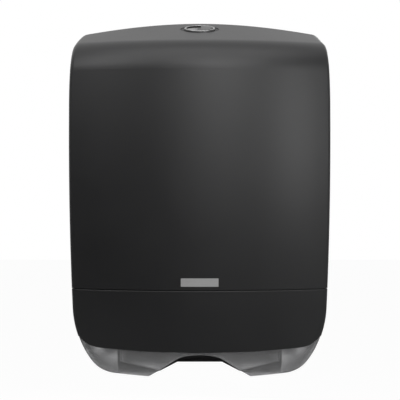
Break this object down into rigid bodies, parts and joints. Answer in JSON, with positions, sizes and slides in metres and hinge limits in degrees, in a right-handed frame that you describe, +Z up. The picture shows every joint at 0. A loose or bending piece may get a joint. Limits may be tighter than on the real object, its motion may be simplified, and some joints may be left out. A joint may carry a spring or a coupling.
{
  "type": "paper towel dispenser",
  "caption": "Wall-mounted folded paper towel dispenser with a bowed hinged cover, smoked outlet skirt and push-button lock.",
  "frame": {"origin": "middle of the four wall-screw slots, on the wall plane at the back of the chassis", "axes": "+X to the right as seen from the front, +Y into the wall, +Z up; the front faces -Y"},
  "size_m": [0.302, 0.15, 0.4197],
  "materials": {
    "cover_black": "satin black moulding with a fine grain",
    "smoked_plastic": "smoked translucent moulding",
    "plate_silver": "bare matt silver plate",
    "inner_black": "matt black moulding",
    "button_grey": "grey moulding",
    "lock_metal": "plain turned metal",
    "fastener_steel": "zinc-plated steel",
    "strike_steel": "bent plated steel sheet",
    "spring_steel": "bright spring wire"
  },
  "bodies": {
    "chassis": {"rear_chassis": "inner_black", "towel_tray": "inner_black", "tray_screws": "fastener_steel", "right_stack_guide": "inner_black", "left_stack_guide": "inner_black", "strike_plate": "strike_steel", "strike_screws": "fastener_steel", "right_hinge_pin": "fastener_steel", "left_hinge_pin": "fastener_steel"},
    "cover": {"main_cover": "cover_black", "lower_cover": "cover_black", "nameplate": "plate_silver", "smoke_skirt": "smoked_plastic", "right_hinge_arm": "inner_black", "left_hinge_arm": "inner_black", "arm_screws": "fastener_steel", "lock_bezel": "inner_black", "lock_housing": "inner_black", "lock_screws": "fastener_steel", "button_spring": "spring_steel", "latch_pin": "fastener_steel", "latch_spring": "spring_steel"},
    "button": {"push_button": "button_grey"},
    "core": {"lock_core": "lock_metal", "lock_cam": "lock_metal"},
    "latch": {"latch_lever": "inner_black"}
  },
  "joints": [
    {"name": "cover_hinge", "type": "hinge", "parent": "chassis", "child": "cover", "pos_m": [0, -0.022, -0.184], "axis": [1, 0, 0], "range_deg": [0, 90]},
    {"name": "button_push", "type": "slide", "parent": "cover", "child": "button", "axis": [0, 0.2924, -0.9563], "range_m": [0, 0.004], "stiffness_N_per_m": 500, "springref_m": -0.004, "deforming": ["button_spring"]},
    {"name": "lock_turn", "type": "hinge", "parent": "button", "child": "core", "pos_m": [-0.0085, -0.057, 0.20327], "axis": [0, -0.2924, 0.9563], "range_deg": [-90, 0]},
    {"name": "latch_swing", "type": "hinge", "parent": "cover", "child": "latch", "pos_m": [0, -0.03933, 0.17626], "axis": [1, 0, 0], "range_deg": [0, 20], "stiffness_Nm_per_rad": 0.3, "springref_deg": -5.73, "deforming": ["latch_spring"]}
  ],
  "couplings": [
    {"joint": "latch_swing", "follows": "button_push", "rad_per_m": 87.2}
  ]
}
